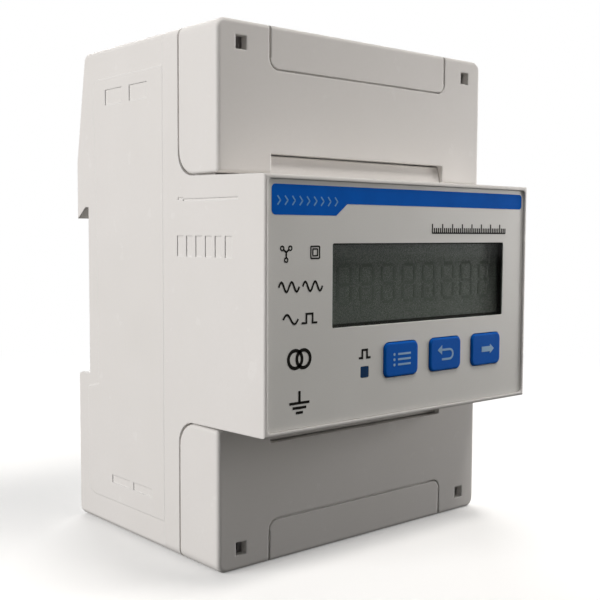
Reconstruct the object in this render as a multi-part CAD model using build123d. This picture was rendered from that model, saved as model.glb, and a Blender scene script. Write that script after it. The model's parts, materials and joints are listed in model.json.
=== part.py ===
from build123d import *
import os

# A four-module meter for a 35 mm rail, standing upright on its lower end.
# +X is to the right seen from the front, +Y is to the rear, +Z is up.
# The origin is the middle of the lower end. All values are in millimetres.

# The case
WIDTH = 72.0  # four rail modules of 18
HEIGHT = 100.0
DEPTH = 65.5
SIDE = WIDTH / 2
FRONT = -DEPTH / 2
REAR = DEPTH / 2
WALL = 1.8
CORNER = 2.0  # outer corners, seen from the front
CASE_SPLIT = FRONT + 31.0  # where front and rear case meet
MODULE = 18.0

# The raised front block and the shoulders behind the terminal covers
BLOCK_MIDDLE = 49.65
BLOCK_HEIGHT = 44.8
BLOCK_DRAFT = 0.55  # each of its faces leans out this much towards the rear
BLOCK_LOW = BLOCK_MIDDLE - BLOCK_HEIGHT / 2
BLOCK_HIGH = BLOCK_MIDDLE + BLOCK_HEIGHT / 2
SHOULDER_LOW = BLOCK_LOW - BLOCK_DRAFT
SHOULDER_HIGH = BLOCK_HIGH + BLOCK_DRAFT

# The terminal covers
COVER_FRONT = FRONT + 13.4
COVER_WRAP = 12.4  # how far a cover reaches back along the sides
COVER_SEAM = COVER_FRONT + COVER_WRAP
COVER_WALL = 1.6
COVER_GAP = 0.15
SHOULDER_FACE = COVER_FRONT + 2.85
SEAM_CORNER = 4.5  # rounding of a cover's rear corner, seen from the side
NOTCH_HALF = 23.8
NOTCH_DEPTH = 3.9
FLAP_HALF = 24.0
FLAP_DEPTH = 8.0
SEAL_X = 30.7
SEAL_Z = 4.0  # from the outer end
SEAL_HOLE = 2.5

# The rail recess: a 35 mm top-hat rail, hook above and latch below
RAIL_FACE = REAR - 5.0  # the pad that the rail's flanges rest on
RAIL_FLANGE = 1.0
RAIL_PLAY = 0.1
PAD_HEIGHT = 0.25
PAD_HALF = 28.0
PAD_Z = (36.0, 63.0)
RECESS_FLOOR = RAIL_FACE - PAD_HEIGHT
RECESS_LOW = 31.8
RECESS_HIGH = 67.4
RECESS_LEAD = 0.7  # slope at the mouth of the recess
HOOK_LOW = 65.05
HOOK_FACE = RAIL_FACE + RAIL_FLANGE + RAIL_PLAY
LEAN_FROM = 77.0  # above this the rear slopes forward, so that the meter tilts onto the rail
LEAN = 4.0

# The rail latch, in a groove below the recess
LATCH_HALF = 11.0
RIB_HALF = 8.9
LATCH_CLEAR = 0.3
LATCH_LOW = 1.5
LATCH_TOP = 31.6
NOSE_TOP = 33.9
GROOVE_FLOOR = RAIL_FACE + 0.25
LATCH_FACE = GROOVE_FLOOR + 0.2
LATCH_STEP = 31.1
NOSE_FACE = RAIL_FACE + 1.45
LATCH_REAR = 32.4
POCKET_HALF = 1.6
POCKET_LOW = 10.0
POCKET_HIGH = 24.0
POST_TOP = 12.2

# The face plate and what shows in it
PLATE_INSET = 0.75
PLATE_FLOOR = FRONT + 0.95
PLATE_FACE = FRONT + 0.4
FRONT_WALL = 1.7
FACE_BACK = PLATE_FLOOR + FRONT_WALL
WINDOW_X = (-20.2, 28.5)
WINDOW_Z = (45.1, 60.3)
KEY_NAMES = ("menu_key", "back_key", "next_key")
KEY_PITCH = 12.7
KEY_FIRST_X = -2.4
KEY_Z = 38.25
KEY_SIZE = (9.2, 6.5)
KEY_CORNER = 1.2
KEY_GAP = 0.15
PULSE_X = -12.0
PULSE_Z = 36.55
PULSE_SIZE = (2.05, 2.05)

# The electronics
BOARD = 1.6
DISPLAY_BOARD_FACE = -22.4
DISPLAY_BOARD_BACK = DISPLAY_BOARD_FACE + BOARD
MAIN_BOARD_FACE = 16.0

# The case screws
BOSS_X = 30.2
BOSS_Z = (27.0, 73.0)
BOSS_RADIUS = 4.4
SCREW_SEAT = 12.0
SCREW_HEAD = 2.7
SCREW_SHANK = 1.25

# The holes that wires go in by: square at the top, round at the bottom
LINE_WIRE_HALF = 3.6
LINE_WIRE_Y = (0.8, 8.6)
SIGNAL_WIRE_RADIUS = 1.9
SIGNAL_WIRE_Y = 1.6

# Line terminals at the top, signal terminals at the bottom. Along Y, each from its
# front: screw head, shelf, pocket with the moving cage, fixed tongue, cage's rear wall.
LINE = {
    "name": "line", "count": 4, "pitch": MODULE, "z": 88.0, "travel": 6.0,
    "head_radius": 3.1, "shank_radius": 2.0, "head": (-13.8, -11.6),
    "shelf": (-11.5, -10.8), "pocket_end": 10.6, "pocket_half": 4.9,
    "cage_half": 4.6, "cage_half_z": 4.7, "cage_wall": 1.0,
    "cage_front": (-4.2, -1.7), "cage_back": (8.9, 10.3),
    "tongue": (-0.75, 0.25), "tongue_half": 3.4,
}
SIGNAL = {
    "name": "signal", "count": 8, "pitch": 8.0, "z": 12.0, "travel": 3.2,
    "head_radius": 2.1, "shank_radius": 1.25, "head": (-10.0, -8.2),
    "shelf": (-8.1, -7.4), "pocket_end": 4.9, "pocket_half": 2.95,
    "cage_half": 2.7, "cage_half_z": 3.0, "cage_wall": 0.7,
    "cage_front": (-3.9, -2.1), "cage_back": (3.6, 4.6),
    "tongue": (-1.2, -0.4), "tongue_half": 1.7,
}


# ---------------------------------------------------------------- basic shapes


def box(x, y, z):
    """A box between three pairs of limits."""
    limits = [sorted(pair) for pair in (x, y, z)]
    size = [high - low for low, high in limits]
    middle = [(high + low) / 2 for low, high in limits]
    return Pos(*middle) * Box(*size)


def around(middle, half):
    return (middle - half, middle + half)


def rod_y(radius, x, z, y):
    """A round rod along Y."""
    return Pos(x, (y[0] + y[1]) / 2, z) * Rot(90, 0, 0) * Cylinder(radius, abs(y[1] - y[0]))


def rod_z(radius, x, y, z):
    """A round rod along Z."""
    return Pos(x, y, (z[0] + z[1]) / 2) * Cylinder(radius, abs(z[1] - z[0]))


def plate(x, z, y, corner):
    """A rounded rectangle seen from the front, as thick as its limits along Y."""
    plane = Plane(((x[0] + x[1]) / 2, y[1], (z[0] + z[1]) / 2), x_dir=(1, 0, 0), z_dir=(0, -1, 0))
    outline = RectangleRounded(x[1] - x[0], z[1] - z[0], corner)
    return extrude(plane * outline, amount=y[1] - y[0])


def side_profile(points, x):
    """A straight-sided outline of (y, z) points, as wide as its limits along X."""
    plane = Plane((x[0], 0, 0), x_dir=(0, 1, 0), z_dir=(1, 0, 0))
    return extrude(plane * make_face(Polyline(*points, close=True)), amount=x[1] - x[0])


def outline_slab(y, inset=0.0):
    """The case's outline seen from the front, drawn in by an inset."""
    x = (-SIDE + inset, SIDE - inset)
    return plate(x, (inset, HEIGHT - inset), y, max(CORNER - inset, 0.5))


def edges_at(shape, axis, y=None, z=None, x=None):
    """The edges along an axis whose middles lie at the given places."""
    found = shape.edges().filter_by(axis)
    for place, name in ((x, "X"), (y, "Y"), (z, "Z")):
        if place is not None:
            found = found.filter_by(lambda e: any(
                abs(getattr(e.center(), name) - p) < 0.02 for p in place))
    return found


def both_sides(shape):
    return shape + mirror(shape, about=Plane.YZ)


def end_span(end, near, far):
    """Heights between two distances from the upper or the lower end."""
    return (HEIGHT - far, HEIGHT - near) if end == "upper" else (near, far)


def terminal_x(kind):
    first = -(kind["count"] - 1) / 2 * kind["pitch"]
    return [first + index * kind["pitch"] for index in range(kind["count"])]


def key_x(index):
    return KEY_FIRST_X + index * KEY_PITCH


# ---------------------------------------------------------------- the case


def case_bosses(radius, y):
    """Round posts or holes round the four case screws."""
    return [rod_y(radius, x, z, y) for x in (-BOSS_X, BOSS_X) for z in BOSS_Z]


def rail_recess():
    """The space the rail goes into, open to the rear and to both sides."""
    points = [
        (RECESS_FLOOR, RECESS_LOW), (REAR - 1.9, RECESS_LOW), (REAR, RECESS_LOW - RECESS_LEAD),
        (REAR + 2, RECESS_LOW - RECESS_LEAD), (REAR + 2, HOOK_LOW + 0.55), (REAR, HOOK_LOW + 0.55),
        (REAR - 0.65, HOOK_LOW), (HOOK_FACE, RECESS_HIGH), (RECESS_FLOOR, RECESS_HIGH),
    ]
    return side_profile(points, (-SIDE - 1, SIDE + 1))


def rear_lean(wall=0.0):
    """The wedge that the sloping rear leaves free, measured from a wall's inner face."""
    points = [
        (REAR - wall, LEAN_FROM), (REAR - LEAN - wall, HEIGHT), (REAR - LEAN - wall, HEIGHT + 1),
        (REAR + 1, HEIGHT + 1), (REAR + 1, LEAN_FROM),
    ]
    return side_profile(points, (-SIDE - 1, SIDE + 1))


def side_relief():
    """The shallow step round the flat panel on each side of the rear case."""
    depth = 0.15
    x = (SIDE - depth, SIDE + 1)
    points = [
        (CASE_SPLIT - 1, 93.5), (REAR - 7.8, 93.5), (REAR - 8.9, 70), (REAR - 9.2, 30),
        (REAR - 4.7, 29), (REAR - 4.7, 6), (CASE_SPLIT - 1, 6),
    ]
    panel = side_profile(points, x)
    panel = fillet(edges_at(panel, Axis.X, y=[REAR - 7.8, REAR - 4.7], z=[93.5, 6]), 2.5)
    relief = box(x, (CASE_SPLIT, REAR + 1), (-1, HEIGHT + 1)) - panel
    for low in (REAR - 19.6, REAR - 29.0):
        relief += box(x, (low, low + 6.6), (88.1, 91.2))
    for low in (REAR - 21.6, REAR - 30.0):
        relief += box(x, (low, low + 7.0), (9.8, 11.4))
    return both_sides(relief)


def latch_groove():
    """The T-shaped groove that the latch slides in, open at its lower end."""
    z = (-1, RECESS_LOW)
    wide = box(around(0, LATCH_HALF + LATCH_CLEAR), (GROOVE_FLOOR, LATCH_STEP + LATCH_CLEAR), z)
    narrow = box(around(0, RIB_HALF + LATCH_CLEAR), (LATCH_STEP, REAR + 1), z)
    return wide + narrow


def rear_case():
    shell = outline_slab((CASE_SPLIT, REAR)) - rear_lean()
    rear_faces = shell.faces().sort_by(Axis.Y)[-2:]
    rim = [edge for face in rear_faces for edge in face.edges()]
    rim = [edge for edge in rim if abs(edge.center().Z - LEAN_FROM) > 0.02]
    shell = fillet(rim, 1.2)
    hollow = outline_slab((CASE_SPLIT - 1, REAR - WALL), WALL) - rear_lean(WALL)
    behind = (RECESS_FLOOR - WALL, REAR)
    hollow -= box((-SIDE, SIDE), behind, (RECESS_LOW - WALL, RECESS_HIGH + WALL))
    hollow -= box(around(0, LATCH_HALF + LATCH_CLEAR + WALL), behind, (0, RECESS_LOW))
    hollow -= case_bosses(BOSS_RADIUS, (CASE_SPLIT, REAR))
    shell -= hollow
    shell -= rail_recess()
    shell += box(around(0, PAD_HALF), (RECESS_FLOOR - 1, RAIL_FACE), PAD_Z)
    shell -= latch_groove()
    post_y = (GROOVE_FLOOR - 1, LATCH_STEP - 0.2)
    shell += box(around(0, POCKET_HALF - 0.3), post_y, (POCKET_LOW + 0.3, POST_TOP))
    shell -= case_bosses(SCREW_HEAD + 0.2, (SCREW_SEAT, REAR + 1))
    shell -= case_bosses(SCREW_SHANK + 0.1, (CASE_SPLIT - 1, SCREW_SEAT + 1))
    for x in terminal_x(LINE):
        shell -= box(around(x, LINE_WIRE_HALF), LINE_WIRE_Y, (HEIGHT - 3, HEIGHT + 1))
    for x in terminal_x(SIGNAL):
        shell -= rod_z(SIGNAL_WIRE_RADIUS, x, SIGNAL_WIRE_Y, (-1, 3))
    return shell - side_relief()


def front_outline():
    """The front case seen from the side: a flange, and the block in front of it."""
    points = [
        (CASE_SPLIT, 0), (CASE_SPLIT, HEIGHT), (COVER_SEAM, HEIGHT), (COVER_SEAM, SHOULDER_HIGH),
        (FRONT, BLOCK_HIGH), (FRONT, BLOCK_LOW), (COVER_SEAM, SHOULDER_LOW), (COVER_SEAM, 0),
    ]
    shape = side_profile(points, (-SIDE, SIDE))
    inner = edges_at(shape, Axis.X, y=[COVER_SEAM], z=[SHOULDER_HIGH, SHOULDER_LOW])
    shape = fillet(inner, SEAM_CORNER)
    shape = fillet(edges_at(shape, Axis.Y, x=[-SIDE, SIDE], z=[0, HEIGHT]), CORNER)
    shape = fillet(shape.faces().sort_by(Axis.Y)[0].edges(), 0.45)
    return shape


def pry_ramp(end):
    """The sloping tab in a cover's notch, where a blade goes in to lift the cover."""
    edge = SHOULDER_HIGH if end == "upper" else SHOULDER_LOW
    outwards = 1 if end == "upper" else -1
    far = edge + outwards * (NOTCH_DEPTH - 0.15)
    points = [
        (SHOULDER_FACE + 1, edge - outwards), (COVER_FRONT + 0.5, edge - outwards),
        (COVER_FRONT + 0.5, edge), (COVER_FRONT + 1.35, far), (SHOULDER_FACE + 1, far),
    ]
    return side_profile(points, around(0, NOTCH_HALF - 0.15))


def side_marks():
    """Fine moulded marks on the sides of the block: a line, and a row of plain bars."""
    depth = 0.15
    x = (SIDE - depth, SIDE + 1)
    marks = box(x, (-25.4, -8.6), (67.9, 68.3))
    marks += box(x, (-8.6, -6.9), (68.2, 68.6))
    for index in range(6):
        low = -23.6 + index * 3.0
        marks += box(x, (low, low + 2.0), (57.7, 61.5))
    return both_sides(marks)


def front_case():
    inner_x = SIDE - COVER_WALL - COVER_GAP
    inner_z = COVER_WALL + COVER_GAP
    shell = front_outline()
    shell += box((-inner_x, inner_x), (SHOULDER_FACE, CASE_SPLIT), (inner_z, HEIGHT - inner_z))
    shell -= outline_slab((COVER_SEAM + WALL, CASE_SPLIT + 1), WALL)
    behind = CASE_SPLIT + 1
    hollow_z = (inner_z + WALL, HEIGHT - inner_z - WALL)
    shell -= box(around(0, inner_x - WALL), (SHOULDER_FACE + WALL, behind), hollow_z)
    shell -= box(around(0, SIDE - WALL), (FACE_BACK, behind), (BLOCK_LOW + WALL, BLOCK_HIGH - WALL))
    for end in ("upper", "lower"):
        shell += pry_ramp(end)
    shell += case_bosses(3.6, (SHOULDER_FACE + 1, CASE_SPLIT))
    shell -= case_bosses(SCREW_SHANK, (-12.0, CASE_SPLIT + 1))
    shell -= plate_outline(0.0, (FRONT - 1, PLATE_FLOOR))
    shell -= box(window_seat(0.05)[0], (FRONT, FACE_BACK + 1), window_seat(0.05)[1])
    for index in range(3):
        shell -= key_plate(index, KEY_GAP, (FRONT, FACE_BACK + 1))
    shell -= pulse_plate(0.05, (FRONT, FACE_BACK + 1))
    through = (COVER_FRONT, SHOULDER_FACE + 3)
    for kind, gap in ((LINE, 0.2), (SIGNAL, 0.3)):
        for x in terminal_x(kind):
            shell -= rod_y(kind["head_radius"] + gap, x, kind["z"], through)
    for x in (-SEAL_X, SEAL_X):
        for z in (SEAL_Z, HEIGHT - SEAL_Z):
            shell -= box(around(x, 1.4), through, around(z, 1.4))
    return shell - side_marks()


# ---------------------------------------------------------------- the covers


def terminal_cover(end):
    """A clip-on cover, open to the rear and towards the block."""
    edge = SHOULDER_HIGH if end == "upper" else HEIGHT - SHOULDER_LOW
    length = HEIGHT - edge - COVER_GAP
    shape = box((-SIDE, SIDE), (COVER_FRONT, COVER_SEAM - 0.1), end_span(end, 0, length))
    inner = HEIGHT - length if end == "upper" else length
    outer = HEIGHT if end == "upper" else 0
    shape = fillet(edges_at(shape, Axis.X, y=[COVER_SEAM - 0.1], z=[inner]), SEAM_CORNER + COVER_GAP)
    shape = fillet(edges_at(shape, Axis.Y, x=[-SIDE, SIDE], z=[outer]), CORNER)
    rear_rim = shape.faces().sort_by(Axis.Y)[-1].edges().filter_by(
        lambda e: abs(e.center().Z - inner) > SEAM_CORNER + 1)
    shape = fillet(rear_rim, 0.5)
    shape = fillet(shape.faces().sort_by(Axis.Y)[0].edges(), 0.8)
    inside = COVER_FRONT + COVER_WALL
    shape -= box(
        around(0, SIDE - COVER_WALL), (inside, COVER_SEAM + 1), end_span(end, COVER_WALL, length + 1)
    )
    through = (COVER_FRONT - 1, inside + 1)
    shape -= box(around(0, NOTCH_HALF), through, end_span(end, length - NOTCH_DEPTH, length + 1))
    hole_z = end_span(end, SEAL_Z - SEAL_HOLE / 2, SEAL_Z + SEAL_HOLE / 2)
    for x in (-SEAL_X, SEAL_X):
        shape -= box(around(x, SEAL_HOLE / 2), through, hole_z)
    return shape - flap_groove(end)


def flap_groove(end):
    """The thin line round the flap that breaks out for thick cables."""
    front = (COVER_FRONT - 1, COVER_FRONT + 1.0)
    depth = (COVER_FRONT - 1, COVER_SEAM - 3)
    groove = []
    for side in (-1, 1):
        x = side * FLAP_HALF
        groove.append(box(around(x, 0.25), front, end_span(end, -1, FLAP_DEPTH - 2)))
        groove.append(box(around(x, 0.25), depth, end_span(end, -1, 0.8)))
    outer_y = (COVER_FRONT - 1, COVER_FRONT + 0.5)
    inner_y = (COVER_FRONT - 2, COVER_FRONT + 1)
    line = plate(around(0, FLAP_HALF + 0.25), end_span(end, -6, FLAP_DEPTH + 0.15), outer_y, 2.2)
    line -= plate(around(0, FLAP_HALF - 0.1), end_span(end, -7, FLAP_DEPTH - 0.2), inner_y, 1.9)
    return [*groove, line]


# ---------------------------------------------------------------- the face


def plate_outline(gap, y):
    inset = PLATE_INSET + gap
    return plate((-SIDE + inset, SIDE - inset), (BLOCK_LOW + inset, BLOCK_HIGH - inset), y, 0.8)


def window_seat(gap):
    """Limits of the window's flange, which is 1 mm wider than what shows."""
    x = (WINDOW_X[0] - 1 - gap, WINDOW_X[1] + 1 + gap)
    z = (WINDOW_Z[0] - 1 - gap, WINDOW_Z[1] + 1 + gap)
    return x, z


def key_plate(index, gap, y):
    half_x = KEY_SIZE[0] / 2 + gap
    half_z = KEY_SIZE[1] / 2 + gap
    return plate(around(key_x(index), half_x), around(KEY_Z, half_z), y, KEY_CORNER + gap)


def pulse_plate(gap, y):
    return plate(
        around(PULSE_X, PULSE_SIZE[0] / 2 + gap), around(PULSE_Z, PULSE_SIZE[1] / 2 + gap), y, 0.3
    )


def face_plate():
    y = (PLATE_FACE, PLATE_FLOOR)
    through = (PLATE_FACE - 1, PLATE_FLOOR + 1)
    shape = plate_outline(0.08, y)
    shape -= plate(WINDOW_X, WINDOW_Z, through, 0.4)
    for index in range(3):
        shape -= key_plate(index, KEY_GAP, through)
    return shape - pulse_plate(0.05, through)


def display_window():
    x, z = window_seat(0)
    flange = box(x, (PLATE_FLOOR, PLATE_FLOOR + 1.2), z)
    raised_x = (WINDOW_X[0] + 0.05, WINDOW_X[1] - 0.05)
    raised_z = (WINDOW_Z[0] + 0.05, WINDOW_Z[1] - 0.05)
    return flange + plate(raised_x, raised_z, (PLATE_FACE + 0.1, PLATE_FLOOR + 0.2), 0.35)


def key_cap(index):
    """A domed cap with a flange behind the front wall."""
    cap = key_plate(index, 0, (FRONT, FACE_BACK + 0.05))
    cap = fillet(cap.faces().sort_by(Axis.Y)[0].edges(), 0.35)
    flange_x = around(key_x(index), KEY_SIZE[0] / 2 + 0.8)
    flange_z = (KEY_Z - KEY_SIZE[1] / 2 - 0.8, KEY_Z + KEY_SIZE[1] / 2)
    return cap + box(flange_x, (FACE_BACK + 0.05, FACE_BACK + 1.7), flange_z)


def key_plunger(index):
    return rod_y(1.7, key_x(index), KEY_Z, (FACE_BACK + 1.7, DISPLAY_BOARD_FACE - 2.8))


def key_switches():
    """Three switch bodies on the display board, each with a round hole for its plunger."""
    bodies = []
    for index in range(3):
        x = key_x(index)
        body = box(around(x, 3), (DISPLAY_BOARD_FACE - 3.5, DISPLAY_BOARD_FACE), around(KEY_Z, 3))
        hole = rod_y(1.8, x, KEY_Z, (DISPLAY_BOARD_FACE - 4, DISPLAY_BOARD_FACE - 2.1))
        bodies.append(body - hole)
    return bodies


def pulse_light_pipe():
    pipe = pulse_plate(0, (PLATE_FACE, DISPLAY_BOARD_FACE - 1.8))
    stop = box(around(PULSE_X, 1.8), (FACE_BACK + 0.02, FACE_BACK + 1.2), around(PULSE_Z, 1.8))
    return pipe + stop


def pulse_lamp():
    return box(around(PULSE_X, 1.6), (DISPLAY_BOARD_FACE - 1.7, DISPLAY_BOARD_FACE), around(PULSE_Z, 1.25))


# ---------------------------------------------------------------- the display

GLASS_X = (WINDOW_X[0] - 2.1, WINDOW_X[1] + 2.1)
GLASS_Z = (WINDOW_Z[0] - 1.9, WINDOW_Z[1] + 1.9)
GLASS_Y = (FACE_BACK + 0.05, FACE_BACK + 2.25)
STRIP = 1.3


def lcd_glass():
    return box(GLASS_X, GLASS_Y, GLASS_Z)


def lcd_frame():
    """The ring that holds glass, light guide and contact strips against the board."""
    y = (GLASS_Y[0], DISPLAY_BOARD_FACE)
    outer = box((GLASS_X[0] - 1, GLASS_X[1] + 1), y, (GLASS_Z[0] - 0.9, GLASS_Z[1] + 0.9))
    inner = box(
        (GLASS_X[0] - 0.1, GLASS_X[1] + 0.1), (y[0] - 1, y[1] + 1), (GLASS_Z[0] - 0.1, GLASS_Z[1] + 0.1)
    )
    return outer - inner


def backlight_guide():
    z = (GLASS_Z[0] + STRIP + 0.1, GLASS_Z[1] - STRIP - 0.1)
    return box((GLASS_X[0] + 0.5, GLASS_X[1] - 0.5), (GLASS_Y[1], GLASS_Y[1] + 2.5), z)


def lcd_contact_strips():
    """Two rubber strips that join the glass to the board, above and below the guide."""
    x = (GLASS_X[0] + 1, GLASS_X[1] - 1)
    y = (GLASS_Y[1], DISPLAY_BOARD_FACE)
    return [box(x, y, (GLASS_Z[0], GLASS_Z[0] + STRIP)), box(x, y, (GLASS_Z[1] - STRIP, GLASS_Z[1]))]


def display_board():
    return box(around(0, 33), (DISPLAY_BOARD_FACE, DISPLAY_BOARD_BACK), (30.5, 69.5))


# ---------------------------------------------------------------- the electronics


def main_board():
    board = box(around(0, 33), (MAIN_BOARD_FACE, MAIN_BOARD_FACE + BOARD), (6, 94))
    return board - case_bosses(BOSS_RADIUS + 0.5, (MAIN_BOARD_FACE - 1, MAIN_BOARD_FACE + 3))


def board_link():
    """Two sockets and eight pins between the display board and the main board."""
    x, z = 18.0, 33.5
    back = DISPLAY_BOARD_BACK
    sockets = [
        box(around(x, 10.5), (back, back + 6), around(z, 1.3)),
        box(around(x, 10.5), (MAIN_BOARD_FACE - 8.5, MAIN_BOARD_FACE), around(z, 1.3)),
    ]
    pins = [
        box(around(x - 8.89 + index * 2.54, 0.32), (back + 6, MAIN_BOARD_FACE - 8.5), around(z, 0.32))
        for index in range(8)
    ]
    return [*sockets, *pins]


CORE_X = -14.0
CORE_Z = 50.0
LEG_HALF = 5.0
CORE_Y = (-4.0, 8.0)


def transformer_core():
    """The iron core: a frame with a middle leg."""
    core = box(around(CORE_X, 15), CORE_Y, around(CORE_Z, 13))
    for side in (-1, 1):
        core -= box(around(CORE_X + side * 7.5, 2.5), (CORE_Y[0] - 1, CORE_Y[1] + 1), around(CORE_Z, 8))
    return core


def transformer_coil():
    """The winding round the middle leg, on a foot that stands on the main board."""
    coil = box(around(CORE_X, LEG_HALF + 4.9), (CORE_Y[0] - 5, CORE_Y[1] + 5), around(CORE_Z, 7.8))
    coil = fillet(coil.edges().filter_by(Axis.Z), 1.5)
    coil -= box(around(CORE_X, LEG_HALF + 0.05), (CORE_Y[0] - 0.05, CORE_Y[1] + 0.05), around(CORE_Z, 9))
    return coil + box(around(CORE_X, 8), (CORE_Y[1] + 4, MAIN_BOARD_FACE), around(CORE_Z, 7))


def smoothing_capacitors():
    cans = []
    for x in (11.0, 23.0):
        can = rod_y(5.0, x, 60.5, (MAIN_BOARD_FACE - 14, MAIN_BOARD_FACE))
        cans.append(fillet(can.edges().sort_by(Axis.Y)[0], 0.6))
    return cans


def surge_varistors():
    """Three flat discs on two legs each."""
    y = MAIN_BOARD_FACE - 7.0
    discs = []
    for x in (-MODULE, 0.0, MODULE):
        disc = rod_z(5.0, x, y, (68.2, 71.6))
        disc = fillet(disc.edges(), 0.8)
        legs = [rod_y(0.4, x + side * 2.5, 69.9, (y + 3, MAIN_BOARD_FACE)) for side in (-1, 1)]
        discs.append(disc + legs)
    return discs


def chip(x, z, half_x, half_z, y, height, legs):
    """A moulded chip with a row of legs down each side, on one face of a board."""
    top = y - height
    body = box(around(x, half_x), (top, y - 0.1), around(z, half_z))
    body = chamfer(body.edges(), 0.15)
    pitch = 2 * half_z / legs
    for index in range(legs):
        place = z - half_z + (index + 0.5) * pitch
        body += box(around(x, half_x + 0.9), (y - 0.6, y), around(place, pitch * 0.22))
    return body


def metering_chip():
    return chip(16.0, 44.0, 4.5, 6.0, MAIN_BOARD_FACE, 1.8, 12)


def processor_chip():
    """The processor, on the rear of the display board."""
    body = chip(-6.0, 50.0, 5.0, 6.0, 0.0, 1.6, 12)
    return Pos(0, DISPLAY_BOARD_BACK, 0) * mirror(body, about=Plane.XZ)


def optocouplers():
    return [chip(x, 26.0, 3.2, 2.3, MAIN_BOARD_FACE, 3.5, 2) for x in (-8.0, 2.0, 12.0)]


# ---------------------------------------------------------------- the terminals


def terminal_block(kind, end, y_end):
    """The insulating block, with a pocket, a screw hole and a wire hole for each cage."""
    outer = COVER_WALL + COVER_GAP + WALL + 0.15
    inner = 21.5
    front = SHOULDER_FACE + WALL + 0.15
    block = box(around(0, 32.2), (front, y_end), end_span(end, outer, inner))
    wire_y = (kind["tongue"][1] + kind["cage_back"][0]) / 2
    for x in terminal_x(kind):
        if end == "upper":
            collar_y = (LINE_WIRE_Y[0] - 1, LINE_WIRE_Y[1] + 1)
            block += box(around(x, LINE_WIRE_HALF + 1), collar_y, end_span(end, WALL + 0.1, outer + 1))
        else:
            block += rod_z(2.7, x, wire_y, end_span(end, WALL + 0.1, outer + 1))
    edge = abs((HEIGHT if end == "upper" else 0) - kind["z"])
    half_z = kind["cage_half_z"] + 0.2
    for x in terminal_x(kind):
        shelf = kind["shelf"]
        pocket = (shelf[1], kind["pocket_end"])
        block -= box(around(x, kind["pocket_half"]), pocket, end_span(end, edge - half_z, inner + 1))
        block -= rod_y(kind["head_radius"] + 0.2, x, kind["z"], (front - 1, shelf[0]))
        block -= rod_y(kind["shank_radius"] + 0.1, x, kind["z"], (shelf[0] - 1, shelf[1] + 1))
        if end == "upper":
            block -= box(around(x, LINE_WIRE_HALF), LINE_WIRE_Y, end_span(end, 0, edge))
        else:
            block -= rod_z(SIGNAL_WIRE_RADIUS, x, wire_y, end_span(end, 0, edge))
        foot = around(x, kind["tongue_half"] + 0.2)
        block -= box(foot, (kind["pocket_end"] - 1, y_end + 1), end_span(end, inner - 2.3, inner + 1))
    return block


def contact(kind, end, x):
    """A tongue inside the cage, on a foot that runs back to the main board."""
    edge = abs((HEIGHT if end == "upper" else 0) - kind["z"])
    front, back = kind["tongue"]
    width = around(x, kind["tongue_half"])
    far = 20.5
    tongue = box(width, (front, back), end_span(end, edge - kind["cage_half_z"] + 0.3, far))
    foot = box(width, (front, MAIN_BOARD_FACE), end_span(end, far - (back - front), far))
    return tongue + foot


def contacts(kind, end):
    return [contact(kind, end, x) for x in terminal_x(kind)]


def clamp_cage(kind, x):
    """A square ring that the screw pulls forward against the tongue."""
    z = around(kind["z"], kind["cage_half_z"])
    cage = box(around(x, kind["cage_half"]), (kind["cage_front"][0], kind["cage_back"][1]), z)
    cage = fillet(cage.edges().filter_by(Axis.Z), 0.6)
    inside = kind["cage_half"] - kind["cage_wall"]
    cage -= box(around(x, inside), (kind["cage_front"][1], kind["cage_back"][0]), around(kind["z"], 9))
    return cage - rod_y(kind["shank_radius"] + 0.05, x, kind["z"], around(kind["cage_front"][0], 5))


def clamp_screw(kind, x):
    """A screw with a cross and slot in its head, held between shelf and tongue."""
    z = kind["z"]
    head = rod_y(kind["head_radius"], x, z, kind["head"])
    head = fillet(head.edges().sort_by(Axis.Y)[0], 0.3)
    shank = rod_y(kind["shank_radius"], x, z, (kind["head"][1], kind["tongue"][0] - 0.1))
    shank = chamfer(shank.edges().sort_by(Axis.Y)[-1], 0.3)
    reach = kind["head_radius"] * 0.72
    depth = (kind["head"][0] - 1, kind["head"][0] + 1.1)
    slot = box(around(x, reach), depth, around(z, 0.45)) + box(around(x, 0.45), depth, around(z, reach))
    return head + shank - slot


# ---------------------------------------------------------------- latch and screws


def rail_latch():
    """The sliding latch: a wide plate, a rib that fills the slot, and a sloping nose."""
    shape = box(around(0, LATCH_HALF), (LATCH_FACE, LATCH_STEP), (LATCH_LOW, LATCH_TOP))
    shape += box(around(0, RIB_HALF), (LATCH_STEP, LATCH_REAR), (LATCH_LOW, LATCH_TOP))
    nose = [
        (NOSE_FACE, LATCH_TOP - 0.6), (NOSE_FACE, NOSE_TOP - 0.9), (NOSE_FACE + 0.3, NOSE_TOP),
        (LATCH_REAR, LATCH_TOP + 0.3), (LATCH_REAR, LATCH_TOP - 0.6),
    ]
    shape += side_profile(nose, around(0, RIB_HALF))
    shape -= box(around(0, 3), (LATCH_FACE - 1, REAR), (4.0, 6.5))
    return shape - box(around(0, POCKET_HALF), (LATCH_FACE - 1, LATCH_STEP), (POCKET_LOW, POCKET_HIGH))


def latch_spring():
    """A small coil spring between the fixed post and the top of the latch's pocket."""
    wire = 0.2
    coil_radius = 1.1
    height = POCKET_HIGH - POST_TOP - 2 * wire - 0.1
    path = Helix(pitch=height / 9, height=height, radius=coil_radius)
    start = Plane(origin=path @ 0, z_dir=path % 0)
    spring = sweep(start * Circle(wire), path=path)
    return Pos(0, (LATCH_FACE + LATCH_STEP) / 2, POST_TOP + wire + 0.05) * spring


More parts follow.
